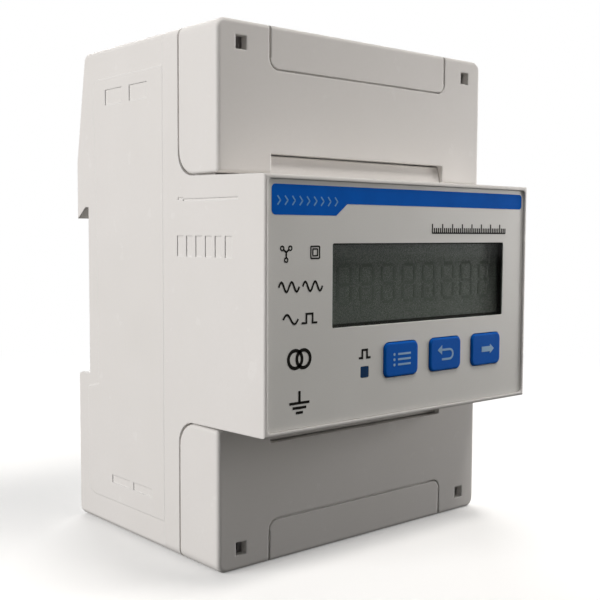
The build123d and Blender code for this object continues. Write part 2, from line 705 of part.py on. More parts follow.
def case_screws():
    screws = []
    for x in (-BOSS_X, BOSS_X):
        for z in BOSS_Z:
            head = rod_y(SCREW_HEAD, x, z, (SCREW_SEAT, SCREW_SEAT + 2))
            shank = rod_y(SCREW_SHANK, x, z, (-11.5, SCREW_SEAT))
            slot = box(around(x, 1.6), (SCREW_SEAT + 1, SCREW_SEAT + 3), around(z, 0.35))
            slot += box(around(x, 0.35), (SCREW_SEAT + 1, SCREW_SEAT + 3), around(z, 1.6))
            screws.append(head + shank - slot)
    return screws


# ---------------------------------------------------------------- all nodes


def all_nodes():
    nodes = {
        "rear_case": rear_case(),
        "front_case": front_case(),
        "upper_terminal_cover": terminal_cover("upper"),
        "lower_terminal_cover": terminal_cover("lower"),
        "face_plate": face_plate(),
        "display_window": display_window(),
        "pulse_light_pipe": pulse_light_pipe(),
        "pulse_lamp": pulse_lamp(),
        "key_switches": key_switches(),
        "lcd_glass": lcd_glass(),
        "lcd_frame": lcd_frame(),
        "backlight_guide": backlight_guide(),
        "lcd_contact_strips": lcd_contact_strips(),
        "display_board": display_board(),
        "main_board": main_board(),
        "board_link": board_link(),
        "transformer_core": transformer_core(),
        "transformer_coil": transformer_coil(),
        "smoothing_capacitors": smoothing_capacitors(),
        "surge_varistors": surge_varistors(),
        "metering_chip": metering_chip(),
        "processor_chip": processor_chip(),
        "optocouplers": optocouplers(),
        "upper_terminal_block": terminal_block(LINE, "upper", 14.0),
        "lower_terminal_block": terminal_block(SIGNAL, "lower", 8.0),
        "line_contacts": contacts(LINE, "upper"),
        "signal_contacts": contacts(SIGNAL, "lower"),
        "rail_latch": rail_latch(),
        "latch_spring": latch_spring(),
        "case_screws": case_screws(),
    }
    for index, name in enumerate(KEY_NAMES):
        nodes[name] = key_cap(index)
        nodes[f"{name}_plunger"] = key_plunger(index)
    for kind in (LINE, SIGNAL):
        for index, x in enumerate(terminal_x(kind)):
            nodes[f"{kind['name']}_cage_{index + 1}"] = clamp_cage(kind, x)
            nodes[f"{kind['name']}_screw_{index + 1}"] = clamp_screw(kind, x)
    return nodes


os.makedirs("parts", exist_ok=True)
for node, shape in all_nodes().items():
    solids = shape if isinstance(shape, list) else [shape]
    whole = Compound(children=[solid for item in solids for solid in item.solids()])
    whole.label = node
    export_step(whole, f"parts/{node}.step")
    print(node, len(whole.solids()), round(whole.volume, 1))
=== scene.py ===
# %% [markdown]
# # A rail-mounted energy meter and its finishes
#
# The meter is a stepped white case 72 mm wide and 100 mm high. A block in the middle carries the
# display, three blue keys and a printed label; two clip-on covers hide the terminals above and below.
# The CAD model already gives every piece its shape and place. This script gives each piece the finish
# of the real material, adds what is only printed or too fine for CAD, and sets up the studio.
# Everything is in metres, and sizes are written in millimetres through one small function.

# %% The frame that everything is fitted to
import json
import math
import bpy
from mathutils import Matrix, Vector


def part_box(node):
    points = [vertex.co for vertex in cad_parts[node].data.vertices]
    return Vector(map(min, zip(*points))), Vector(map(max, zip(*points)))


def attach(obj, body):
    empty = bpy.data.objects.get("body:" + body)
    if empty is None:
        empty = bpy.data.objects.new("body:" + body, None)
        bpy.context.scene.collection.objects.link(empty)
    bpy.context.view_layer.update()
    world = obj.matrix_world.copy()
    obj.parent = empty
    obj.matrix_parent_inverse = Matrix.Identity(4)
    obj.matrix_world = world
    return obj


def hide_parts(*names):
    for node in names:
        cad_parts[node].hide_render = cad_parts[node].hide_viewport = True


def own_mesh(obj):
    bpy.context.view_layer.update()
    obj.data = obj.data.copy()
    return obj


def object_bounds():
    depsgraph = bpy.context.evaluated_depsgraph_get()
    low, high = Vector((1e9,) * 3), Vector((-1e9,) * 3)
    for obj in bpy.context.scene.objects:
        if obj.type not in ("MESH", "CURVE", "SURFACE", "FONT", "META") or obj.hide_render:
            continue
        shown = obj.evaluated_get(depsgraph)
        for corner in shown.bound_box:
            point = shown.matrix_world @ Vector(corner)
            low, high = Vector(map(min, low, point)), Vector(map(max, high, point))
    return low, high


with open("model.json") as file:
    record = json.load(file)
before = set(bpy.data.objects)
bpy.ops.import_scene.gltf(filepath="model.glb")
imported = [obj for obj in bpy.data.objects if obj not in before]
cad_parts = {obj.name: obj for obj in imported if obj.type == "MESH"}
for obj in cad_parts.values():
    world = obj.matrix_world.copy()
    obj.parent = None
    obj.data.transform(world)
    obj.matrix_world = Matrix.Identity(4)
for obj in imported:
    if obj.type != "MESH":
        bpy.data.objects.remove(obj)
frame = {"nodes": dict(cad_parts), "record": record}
cad_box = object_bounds()


def mm(*values):
    """Millimetres as metres: one number, or a vector of several."""
    metres = [value / 1000 for value in values]
    return metres[0] if len(metres) == 1 else Vector(metres)


object_middle = (cad_box[0] + cad_box[1]) / 2
print("CAD box in mm:", [round(v * 1000, 2) for v in (*cad_box[0], *cad_box[1])])

# %% [markdown]
# ## Helpers
#
# Colours are picked as sRGB hex values, the way a paint chart gives them, but Blender mixes light in
# linear values. One function does that turn, so that no colour in the file is linear by accident.
# One function adds any node, for shaders and for Geometry Nodes alike: its settings are keywords, and
# its inputs are either plain values or the sockets that feed them.

# %% Colours and nodes


def linear(colour):
    """An sRGB hex colour as linear RGBA."""
    channels = [int(colour[start:start + 2], 16) / 255 for start in (1, 3, 5)]
    straight = [c / 12.92 if c <= 0.04045 else ((c + 0.055) / 1.055) ** 2.4 for c in channels]
    return (*straight, 1.0)


def add(tree, kind, inputs=None, **settings):
    """Adds one node. Inputs go by name or number, and take a value or the socket that feeds them."""
    made = tree.nodes.new(kind)
    for name, value in settings.items():
        setattr(made, name, value)
    for name, value in (inputs or {}).items():
        if isinstance(value, bpy.types.NodeSocket):
            tree.links.new(value, made.inputs[name])
        else:
            made.inputs[name].default_value = value
    return made


def new_finish(name):
    """A material with an empty tree, its principled shader and its object coordinates."""
    material = bpy.data.materials.new(name)
    material.use_nodes = True
    tree = material.node_tree
    tree.nodes.clear()
    shader = add(tree, "ShaderNodeBsdfPrincipled")
    add(tree, "ShaderNodeOutputMaterial", {"Surface": shader.outputs[0]})
    place = add(tree, "ShaderNodeTexCoord").outputs["Object"]
    return material, tree, shader, place


def dress(tree, shader, colour, rough, height=None, strength=0.0, depth=0.0, normal=None):
    """Gives a shader its colour and roughness, and a relief that many mm deep if it has a height."""
    tree.links.new(colour, shader.inputs["Base Color"])
    tree.links.new(rough, shader.inputs["Roughness"])
    if height is None:
        return
    relief = {"Height": height, "Strength": strength, "Distance": mm(depth)}
    if normal is not None:
        relief["Normal"] = normal
    tree.links.new(add(tree, "ShaderNodeBump", relief).outputs[0], shader.inputs["Normal"])


print("white is", linear("#FFFFFF"))

# %% [markdown]
# ## Camera
#
# The meter is seen from its front left corner, a little above its middle, from about 21 cm: close
# enough for strong perspective. Heading and drop were fitted to the edges of the case, so they are
# angles rather than a look-at target. A matrix made from the three camera directions keeps the small
# roll exact, which a Track To constraint would lose.

# %% Camera
CAMERA_PLACE = mm(-137.49, -159.59, 62.13)
HEADING = 0.7114  # radians from +Y towards +X
DROP = 0.0689
ROLL = 0.0041
LENS = 58.35


def camera_turn():
    """The camera's rotation from its heading, drop and roll."""
    ahead = Vector((
        math.sin(HEADING) * math.cos(DROP), math.cos(HEADING) * math.cos(DROP), -math.sin(DROP)))
    level = Vector((math.cos(HEADING), -math.sin(HEADING), 0))
    upright = level.cross(ahead)
    right = math.cos(ROLL) * level + math.sin(ROLL) * upright
    up = math.cos(ROLL) * upright - math.sin(ROLL) * level
    return Matrix((right, up, -ahead)).transposed().to_4x4()


lens = bpy.data.cameras.new("camera")
lens.lens = LENS
lens.clip_start = 0.01
camera = bpy.data.objects.new("camera", lens)
camera.matrix_world = Matrix.Translation(CAMERA_PLACE) @ camera_turn()
bpy.context.scene.collection.objects.link(camera)
bpy.context.scene.camera = camera
print("camera stands", round((CAMERA_PLACE - object_middle).length * 1000), "mm from the middle")

# %% [markdown]
# ## Studio
#
# The light is that of a product table. A large softbox on the left lights the case's side. A small one
# stands almost above the meter and rakes its front: the block juts out over the lower cover, so this
# light leaves that cover in shade. A low one on the right lifts the front towards its right end.
# A last one behind the meter is there for the other views. The floor is a plain pale sheet that runs out
# into white. It could be a bent paper sweep, but a flat sheet that fades gives every view a clean
# horizon. The standard view transform keeps the whites white.

# %% Softboxes, surroundings and floor
LIGHTS = {  # place in mm from the object's middle, size in mm, watts, colour
    "left_softbox": ((-920, 200, 200), 600, 8.6, "#FFFDFC"),
    "high_softbox": ((90, -180, 440), 150, 1.2, "#FFFBF7"),
    "low_softbox": ((430, -165, 25), 170, 1.02, "#FFFCFA"),
    "rear_softbox": ((450, 800, 350), 600, 5.5, "#FFFFFF"),
}
SURROUNDINGS = 0.145
FLOOR_SIZE = 4.0
FLOOR_FADE = (0.10, 0.32)  # metres from the middle, from paper to pure white
FLOOR_GAP = 0.05  # mm below the meter, so that their faces don't coincide
PAPER_LIFT = 0.20


def softbox(name, place, size, power, colour):
    """A square light that faces the object's middle."""
    light = bpy.data.lights.new(name, "AREA")
    light.size = mm(size)
    light.energy = power
    light.color = linear(colour)[:3]
    lamp = bpy.data.objects.new(name, light)
    lamp.location = object_middle + mm(*place)
    lamp.rotation_mode = "QUATERNION"
    lamp.rotation_quaternion = (object_middle - lamp.location).to_track_quat("-Z", "Y")
    bpy.context.scene.collection.objects.link(lamp)


def surroundings():
    """White where the camera looks past the table, and dim grey for what lights the object."""
    world = bpy.data.worlds.new("surroundings")
    world.use_nodes = True
    tree = world.node_tree
    tree.nodes.clear()
    seen = add(tree, "ShaderNodeLightPath").outputs["Is Camera Ray"]
    dim = add(tree, "ShaderNodeBackground", {"Color": linear("#FFFFFF"), "Strength": SURROUNDINGS})
    white = add(tree, "ShaderNodeBackground", {"Color": linear("#FFFFFF"), "Strength": 1.0})
    mixed = add(tree, "ShaderNodeMixShader", {0: seen, 1: dim.outputs[0], 2: white.outputs[0]})
    add(tree, "ShaderNodeOutputWorld", {"Surface": mixed.outputs[0]})
    bpy.context.scene.world = world


def floor_finish():
    """Matt white paper, which fades into pure white further out. Only the camera sees it so: other
    rays meet dull grey, which keeps the floor from lighting the meter from below."""
    material = bpy.data.materials.new("matt_paper_floor")
    material.use_nodes = True
    tree = material.node_tree
    tree.nodes.clear()
    place = add(tree, "ShaderNodeTexCoord").outputs["Object"]
    distance = add(tree, "ShaderNodeVectorMath", {0: place}, operation="LENGTH").outputs["Value"]
    fade = add(tree, "ShaderNodeMapRange", {"Value": distance, "From Min": FLOOR_FADE[0],
                                            "From Max": FLOOR_FADE[1]},
               interpolation_type="SMOOTHSTEP").outputs["Result"]
    seen = add(tree, "ShaderNodeLightPath").outputs["Is Camera Ray"]
    paper = add(tree, "ShaderNodeBsdfDiffuse", {"Color": linear("#F6F6F5")})
    lift = add(tree, "ShaderNodeEmission", {"Color": linear("#FFFFFF"), "Strength": PAPER_LIFT})
    lifted = add(tree, "ShaderNodeAddShader", {0: paper.outputs[0], 1: lift.outputs[0]})
    white = add(tree, "ShaderNodeEmission", {"Color": linear("#FFFFFF"), "Strength": 1.0})
    near_or_far = add(tree, "ShaderNodeMixShader", {0: fade, 1: lifted.outputs[0], 2: white.outputs[0]})
    dull = add(tree, "ShaderNodeBsdfDiffuse", {"Color": linear("#5E5E5C")})
    whole = add(tree, "ShaderNodeMixShader", {0: seen, 1: dull.outputs[0], 2: near_or_far.outputs[0]})
    add(tree, "ShaderNodeOutputMaterial", {"Surface": whole.outputs[0]})
    return material


def floor_sheet():
    """One large square just under the object, staged so that it isn't part of it."""
    half = FLOOR_SIZE / 2
    mesh = bpy.data.meshes.new("floor")
    mesh.from_pydata([(-half, -half, 0), (half, -half, 0), (half, half, 0), (-half, half, 0)],
                     [], [(0, 1, 2, 3)])
    mesh.materials.append(floor_finish())
    sheet = bpy.data.objects.new("floor", mesh)
    sheet.location.z = cad_box[0].z - mm(FLOOR_GAP)
    bpy.context.scene.collection.objects.link(sheet)


for light_name, (light_place, light_size, watts, light_colour) in LIGHTS.items():
    softbox(light_name, light_place, light_size, watts, light_colour)
surroundings()
floor_sheet()
bpy.context.scene.view_settings.view_transform = "Standard"
print("studio:", ", ".join(LIGHTS))

# %% [markdown]
# ## Moulded plastic
#
# Nearly every outer piece is injection-moulded: the case in a fire-retardant polycarbonate blend, from
# a spark-eroded mould that leaves a fine, even grain, with edges rounded to about 0.4 mm. The grain
# could be modelled, but at 0.2 mm it belongs in a bump. One recipe serves every plastic: grain, a slow
# drift of colour where the melt cooled unevenly, tiny pale scuffs, and a painted highlight that lightens
# the crest of each edge, where the rounding is also polished smoother. The Bevel node gives both the
# rounding and, compared with the flat normal, the mask for that painted highlight.

# %% The recipe for plastics
GRAIN = 0.22  # mm between grain peaks, drawn a little coarser than spark erosion so that it shows
EDGE_RADIUS = 0.38


def edge_mask(tree, radius):
    """The rounded normal, and a value that is 0 on flats and 1 on the crest of an edge."""
    rounded = add(tree, "ShaderNodeBevel", {"Radius": mm(radius)}, samples=4).outputs["Normal"]
    flat = add(tree, "ShaderNodeNewGeometry").outputs["Normal"]
    along = add(tree, "ShaderNodeVectorMath", {0: rounded, 1: flat}, operation="DOT_PRODUCT")
    crest = add(tree, "ShaderNodeMapRange", {"Value": along.outputs["Value"], "From Min": 0.995,
                                             "From Max": 0.80, "To Min": 0.0, "To Max": 1.0})
    return rounded, crest.outputs["Result"]


def blobs(tree, place, size, detail=2.0, seed=0.0):
    """Noise with blobs about that many mm across. The seed only moves it, so that two differ."""
    moved = add(tree, "ShaderNodeMapping", {"Vector": place, "Location": (seed, seed * 0.37, -seed)})
    return add(tree, "ShaderNodeTexNoise", {"Vector": moved.outputs[0], "Scale": 1 / mm(size),
                                            "Detail": detail}).outputs["Fac"]


def mottle(tree, place, size, low, high, detail=2.0, seed=0.0):
    """The height of such blobs, and a value that wanders between two ends with that height."""
    height = blobs(tree, place, size, detail, seed)
    value = add(tree, "ShaderNodeMapRange", {"Value": height, "From Min": 0.3, "From Max": 0.7,
                                             "To Min": low, "To Max": high}).outputs["Result"]
    return height, value


def two_tone(tree, place, size, first, second, most=1.0, detail=2.0, seed=0.0):
    """A colour that drifts towards a second one in blobs, at most by that share.
    The first is a hex colour, or a socket that already holds one."""
    share = mottle(tree, place, size, 0.0, most, detail, seed)[1]
    ground = linear(first) if isinstance(first, str) else first
    return add(tree, "ShaderNodeMix", {"Factor": share, 6: ground, 7: linear(second)},
               data_type="RGBA").outputs[2]


print("patterns: worn edges, blobs, mottle and two tones")

# %% [markdown]
# The recipe puts these together, and each plastic then differs only in colour, gloss and grain. Its
# two numbers are how strongly the painted highlight lightens an edge's crest, and how much smoother it is
# there.

# %% Plastics
EDGE_HIGHLIGHT = 0.9
EDGE_POLISH = 0.10


def moulded(name, colour, shade, edge, roughness, grain=GRAIN, depth=0.006, radius=EDGE_RADIUS,
            gloss=0.35):
    """A moulded plastic. Shade is its colour where it is darkest; edge is the colour of its pale scuffs and
    of the painted highlight on the crest of each edge.
    """
    material, tree, shader, place = new_finish(name)
    rounded, crest = edge_mask(tree, radius)
    body = two_tone(tree, place, 24, colour, shade, most=0.75, seed=3)
    speckled = two_tone(tree, place, 0.7, body, shade, most=0.35, detail=3, seed=7)
    scuffs = mottle(tree, place, 3.5, -1.2, 0.12, detail=5, seed=11)[1]
    # painted highlight: the crest of each edge is lightened towards the edge colour, joined below with the
    # pale scuffs, which are wear
    painted_highlight = add(tree, "ShaderNodeMath", {0: crest, 1: EDGE_HIGHLIGHT}, operation="MULTIPLY").outputs[0]
    lightened = add(tree, "ShaderNodeMath", {0: painted_highlight, 1: scuffs}, operation="MAXIMUM", use_clamp=True)
    scuffed_and_highlit = add(tree, "ShaderNodeMix", {"Factor": lightened.outputs[0], 6: speckled, 7: linear(edge)},
               data_type="RGBA").outputs[2]
    polish = add(tree, "ShaderNodeMath", {0: crest, 1: -EDGE_POLISH}, operation="MULTIPLY").outputs[0]
    dull = mottle(tree, place, 9, roughness - 0.05, roughness + 0.05, seed=5)[1]
    rough = add(tree, "ShaderNodeMath", {0: dull, 1: polish}, operation="ADD", use_clamp=True)
    peaks = blobs(tree, place, grain, detail=3, seed=1)
    dress(tree, shader, scuffed_and_highlit, rough.outputs[0], peaks, 0.55, depth, rounded)
    shader.inputs["IOR"].default_value = 1.55
    shader.inputs["Specular IOR Level"].default_value = gloss
    return material


plastics = {
    # polycarbonate blend, spark-eroded grain: a warm white with almost no gloss
    "case_plastic": moulded("moulded_polycarbonate_warm_white", "#E9E6E3", "#E5E2DE", "#FDFCFA", 0.52),
    # the keys: ABS dyed right through, with a satin skin
    "key_plastic": moulded("moulded_abs_satin_blue", "#0163C8", "#0159B8", "#1F7ED8", 0.62, 0.15, 0.003,
                           gloss=0.05),
    # glass-filled nylon, which keeps a slightly rough skin
    "terminal_plastic": moulded("moulded_nylon_pale_grey", "#C4C4C0", "#B8B8B3", "#D5D5D2", 0.6),
    # acetal slides well on the case and looks a little waxy
    "latch_plastic": moulded("moulded_acetal_stone_grey", "#C5C2BC", "#BBB8B1", "#D8D6D1", 0.42),
    # small pieces inside: polyamide dyed black, even and dull
    "black_plastic": moulded("moulded_polyamide_black", "#1C1D1E", "#161718", "#3A3B3C", 0.5),
    # epoxy chip bodies have a matt skin from the transfer mould
    "chip": moulded("moulded_epoxy_charcoal", "#232427", "#1C1D20", "#3B3C40", 0.55, 0.12, 0.004, 0.08),
    # silicone with conductive layers: soft, and almost without gloss
    "rubber": moulded("moulded_silicone_zebra_strip", "#33333A", "#26262B", "#45454C", 0.75, 0.3, 0.01),
    # a disc dipped in epoxy, which dries glossy and a little lumpy
    "varistor": moulded("dipped_epoxy_blue", "#2C6CB4", "#235B9C", "#4F8ACB", 0.3, 1.2, 0.02),
}
print(len(plastics), "plastics")

# %% [markdown]
# ## Metals, glass and boards
#
# The clamps are zinc-plated steel, the contacts stamped brass, and the transformer's core stacked
# steel sheets. Plating and stamping leave fine streaks, so their recipe stretches noise along one
# direction and lets it steer the roughness. Streaks could come from an anisotropic shader, but on parts
# this small a plain streaked roughness reads the same and bakes well.

# %% Metals


def metal(name, colour, stain, lightened, roughness, streak, stretch=(1, 1, 12), radius=0.12):
    """A plated or stamped metal: streaks that many mm apart, drawn out by the stretch."""
    material, tree, shader, place = new_finish(name)
    rounded, crest = edge_mask(tree, radius)
    drawn = add(tree, "ShaderNodeMapping", {"Vector": place, "Scale": [1 / s for s in stretch]})
    streaks, rough = mottle(tree, drawn.outputs[0], streak, roughness - 0.08, roughness + 0.10,
                            detail=4, seed=2)
    tinted = two_tone(tree, place, 2.5, colour, stain, detail=4, seed=6)
    # painted highlight: the crest of each edge is lightened towards the pale edge colour
    bright = add(tree, "ShaderNodeMix", {"Factor": crest, 6: tinted, 7: linear(lightened)},
                 data_type="RGBA").outputs[2]
    dress(tree, shader, bright, rough, streaks, 0.4, 0.004, rounded)
    shader.inputs["Metallic"].default_value = 1.0
    return material


metals = {
    # bent from strip and plated afterwards: a bright grey with fine upright streaks
    "cage_steel": metal("zinc_plated_bent_steel", "#C9CAC6", "#AFB1AE", "#F0F0EE", 0.36, 0.25),
    # made from drawn bar, so the streaks run along the screw
    "screw_steel": metal("zinc_plated_turned_steel", "#D2D3D1", "#B7B9B7", "#F4F4F2", 0.30, 0.2,
                         (1, 12, 1)),
    # drawn wire and small screws: the finest streaks
    "steel": metal("zinc_plated_drawn_steel", "#C4C6C7", "#A9ABAD", "#ECEDEE", 0.32, 0.15),
    # stamped from strip: yellow, browner where it has tarnished
    "contact_brass": metal("stamped_brass", "#C9A45A", "#9A7636", "#EBCF8E", 0.33, 0.25),
    # bare sheets stacked upwards, each seen as a dark or a light line
    "core_steel": metal("stacked_silicon_steel", "#8B8E90", "#6B6E70", "#B5B8BA", 0.45, 0.5,
                        (14, 14, 1)),
}
print(len(metals), "metals")

# %% [markdown]
# The window is a clear acrylic moulding and the display an unlit liquid-crystal glass. Its front
# polariser absorbs most of the light, which gives the dark greenish grey. The window is a real
# refracting solid, so the display's edge shifts behind it as the view turns.

# %% Window and display


def clear_acrylic():
    """Injection-moulded acrylic: clear, glossy, with hair-fine wipe marks in the gloss."""
    material, tree, shader, place = new_finish("moulded_clear_acrylic")
    drawn = add(tree, "ShaderNodeMapping", {"Vector": place, "Scale": (0.08, 1, 1),
                                            "Rotation": (0, 0.5, 0)})
    wipes = mottle(tree, drawn.outputs[0], 0.4, 0.015, 0.06, detail=5, seed=4)[1]
    tree.links.new(wipes, shader.inputs["Roughness"])
    shader.inputs["Base Color"].default_value = linear("#F4F7F5")
    shader.inputs["Transmission Weight"].default_value = 1.0
    shader.inputs["IOR"].default_value = 1.49
    # a lamp's light goes straight through, which spares the search for paths bent by the window
    shadow = add(tree, "ShaderNodeLightPath").outputs["Is Shadow Ray"]
    passed = add(tree, "ShaderNodeBsdfTransparent", {"Color": linear("#ECEFED")})
    either = add(tree, "ShaderNodeMixShader", {0: shadow, 1: shader.outputs[0], 2: passed.outputs[0]})
    tree.links.new(either.outputs[0], tree.nodes["Material Output"].inputs["Surface"])
    return material


def display_glass():
    """A polariser film over liquid-crystal glass: dark, faintly green, with a soft film sheen. The same
    fine weave steers colour and gloss, so both take the same size and seed."""
    material, tree, shader, place = new_finish("laminated_polariser_film")
    tint = two_tone(tree, place, 14, "#5A5E5A", "#565A56", seed=8)
    fine = two_tone(tree, place, 0.25, tint, "#4A4E4A", most=0.25, detail=1, seed=9)
    dress(tree, shader, fine, mottle(tree, place, 0.25, 0.22, 0.34, detail=1, seed=9)[1])
    return material


def frosted_diffuser():
    """The light guide: milky acrylic with a dot pattern that lets the light out."""
    material, tree, shader, place = new_finish("frosted_acrylic_light_guide")
    dots = add(tree, "ShaderNodeTexVoronoi", {"Vector": place, "Scale": 1 / mm(0.9)})
    between = add(tree, "ShaderNodeMapRange", {"Value": dots.outputs["Distance"],
                                               "From Min": 0.25, "From Max": 0.32})
    dotted = add(tree, "ShaderNodeMix", {"Factor": between.outputs["Result"], 6: linear("#F7F8F6"),
                                         7: linear("#E4E8E8")}, data_type="RGBA")
    dress(tree, shader, dotted.outputs[2], mottle(tree, place, 0.5, 0.3, 0.45)[1])
    shader.inputs["IOR"].default_value = 1.49
    return material


def clear_lamp():
    """An unlit light-emitting diode in tinted clear epoxy."""
    material, tree, shader, place = new_finish("cast_tinted_epoxy_lamp")
    cloudy = two_tone(tree, place, 0.6, "#D8453A", "#B83228", seed=2)
    dress(tree, shader, cloudy, mottle(tree, place, 1.5, 0.12, 0.2)[1])
    return material


def blue_lens():
    """The end of the light pipe: clear acrylic dyed deep blue, polished by its mould."""
    material, tree, shader, place = new_finish("moulded_dyed_acrylic_blue")
    deep = two_tone(tree, place, 0.8, "#12406F", "#0E3761")
    dress(tree, shader, deep, mottle(tree, place, 0.4, 0.12, 0.2, seed=2)[1])
    return material


glasses = {
    "window": clear_acrylic(),
    "lcd_glass": display_glass(),
    "diffuser": frosted_diffuser(),
    "lamp": clear_lamp(),
}
print(len(glasses), "clear finishes")

# %% [markdown]
# A circuit board is glass-fibre laminate under green solder resist, with the copper tracks showing
# through as paler lines and the drilled vias as dots. A grid of stretched cells gives tracks on a
# 1 mm pitch that start and stop, which is how a routed board looks from a hand's breadth away.

# %% Boards and winding
TRACK_PITCH = 0.992
VIA_PITCH = 3.1
WINDING_STEP = 0.4  # mm for each radian of the wave, so that its ridges stand 2.5 mm apart
WAVE_RADIANS = 20  # the wave texture's own phase for each unit of length


def solder_resist():
    """Green resist over copper: tracks in rows, and a round plated pad for each via."""
    material, tree, shader, place = new_finish("solder_resist_on_glass_fibre")
    flat = add(tree, "ShaderNodeSeparateXYZ", {0: place})
    upright = add(tree, "ShaderNodeCombineXYZ", {0: flat.outputs[0], 1: flat.outputs[2]}).outputs[0]
    # the brick colours are shares of copper, not colours: none, some, and all in the mortar
    tracks = add(tree, "ShaderNodeTexBrick", {
        "Vector": upright, "Scale": 1 / mm(1), "Color1": (0, 0, 0, 1), "Color2": (0.6, 0.6, 0.6, 1),
        "Mortar": (1, 1, 1, 1), "Mortar Size": 0.09, "Mortar Smooth": 0.2, "Brick Width": 5.4,
        "Row Height": TRACK_PITCH})
    vias = add(tree, "ShaderNodeTexVoronoi", {"Vector": upright, "Scale": 1 / mm(VIA_PITCH)},
               voronoi_dimensions="2D")
    pad = add(tree, "ShaderNodeMapRange", {"Value": vias.outputs["Distance"], "From Min": 0.14,
                                           "From Max": 0.11})
    resist = two_tone(tree, place, 0.5, "#1D6B3C", "#175731", most=0.5, seed=3)
    tracked = add(tree, "ShaderNodeMix", {"Factor": tracks.outputs["Color"], 6: resist,
                                          7: linear("#3C9A5C")}, data_type="RGBA").outputs[2]
    whole = add(tree, "ShaderNodeMix", {"Factor": pad.outputs["Result"], 6: tracked,
                                        7: linear("#C9B26A")}, data_type="RGBA").outputs[2]
    dress(tree, shader, whole, mottle(tree, place, 1.2, 0.26, 0.38)[1], tracks.outputs["Fac"], 0.5, 0.035)
    return material


def taped_winding():
    """Enamelled copper under yellow polyester tape: the layers show through as soft ridges."""
    material, tree, shader, place = new_finish("taped_enamelled_copper")
    turns = add(tree, "ShaderNodeTexWave", {"Vector": place, "Scale": 1 / mm(WINDING_STEP) / WAVE_RADIANS,
                                            "Distortion": 0.6, "Detail": 1.0},
                bands_direction="Z", wave_profile="SIN").outputs["Fac"]
    tape = add(tree, "ShaderNodeMix", {"Factor": turns, 6: linear("#C7952B"), 7: linear("#E0BE55")},
               data_type="RGBA").outputs[2]
    creased = two_tone(tree, place, 4, tape, "#B57A2A", most=0.5, detail=4)
    dress(tree, shader, creased, mottle(tree, place, 2.2, 0.22, 0.4)[1], turns, 0.6, 0.08)
    return material


print("board and winding")

# %% [markdown]
# A smoothing capacitor is an aluminium can in a plastic sleeve that was shrunk on by heat, which leaves
# small soft wrinkles. The label is polyester film, embossed so that it doesn't glare; what is printed on
# it comes later, as ink of its own.

# %% Capacitors and label film


def sleeved_can():
    """An aluminium can in a shrunk black sleeve, finely wrinkled."""
    material, tree, shader, place = new_finish("shrink_sleeved_aluminium")
    sleeve = two_tone(tree, place, 1.6, "#20242E", "#171A22", most=0.6, detail=4, seed=5)
    wrinkle, rough = mottle(tree, place, 1.6, 0.2, 0.34, detail=4, seed=5)
    dress(tree, shader, sleeve, rough, wrinkle, 0.3, 0.05)
    return material


def label_film():
    """Polyester film: light grey, embossed with a fine velvet texture."""
    material, tree, shader, place = new_finish("printed_polyester_film_light_grey")
    rounded, crest = edge_mask(tree, 0.08)
    tone = two_tone(tree, place, 18, "#E6E5E1", "#E1E0DC", seed=9)
    fleck = two_tone(tree, place, 0.16, tone, "#D6D5D1", most=0.3, seed=2)
    # painted highlight: the crest of each edge of the film is lightened
    highlit_film = add(tree, "ShaderNodeMix", {"Factor": crest, 6: fleck, 7: linear("#F0F0EE")},
              data_type="RGBA").outputs[2]
    velvet = blobs(tree, place, 0.16, seed=2)
    dress(tree, shader, highlit_film, mottle(tree, place, 6, 0.36, 0.46)[1], velvet, 0.35, 0.004, rounded)
    return material


layered = {
    "board": solder_resist(),
    "winding": taped_winding(),
    "capacitor": sleeved_can(),
    "printed_film": label_film(),
}
print(len(layered), "layered finishes")

# %% [markdown]
# The record names one material slot for each CAD node, so the finishes are dealt out by slot: a new
# node that uses a known slot would be finished too.

# %% Finishes for the CAD nodes
finishes = {**plastics, **metals, **glasses, **layered}
special = {"pulse_light_pipe": blue_lens()}
for part in frame["record"]["subparts"]:
    node_object = frame["nodes"][part["node"]]
    node_object.data.materials.clear()
    node_object.data.materials.append(special.get(part["node"], finishes[part["material_slot"]]))

# %% [markdown]
# ## Print
#
# The label is screen-printed: each colour is a layer of ink some hundredths of a millimetre thick.
# It could be an image, but an image has a fixed sharpness and hides its sizes. Here each mark is a thin
# solid of ink cut from outlines, so it stays sharp in any view and catches light on its edge.
# Two kinds of outline are enough: a filled shape, and a stroke of even width along a line.
# Names and type numbers of the real label are not copied: plain electrical symbols, ticks and
# chevrons of the same size and place stand for them.

# %% Ink shapes
INK = 0.04  # mm of ink above the surface
SINK = 0.02  # mm that the ink reaches into it, so that no gap shows
MITRE_LIMIT = 2.5  # how far the corner of a stroke may reach, in half widths


def prism(outline, face, height=INK):
    """A filled shape. The outline runs anticlockwise, as (x, z) in mm seen from the front."""
    count = len(outline)
    front = [(x, face - height, z) for x, z in outline]
    back = [(x, face + SINK, z) for x, z in outline]
    faces = [list(range(count)), list(range(2 * count - 1, count - 1, -1))]
    for index in range(count):
        after = (index + 1) % count
        faces.append([after, index, count + index, count + after])
    return front + back, faces


def side_step(before, here, after, width):
    """How far, and which way, a stroke's left edge lies from a point of its line."""
    into = (Vector(here) - Vector(before)).normalized()
    out = (Vector(after) - Vector(here)).normalized()
    along = (into + out).normalized()
    stretch = 1 / max(along.dot(out), 1 / MITRE_LIMIT)
    return Vector((-along.y, along.x)) * width / 2 * stretch


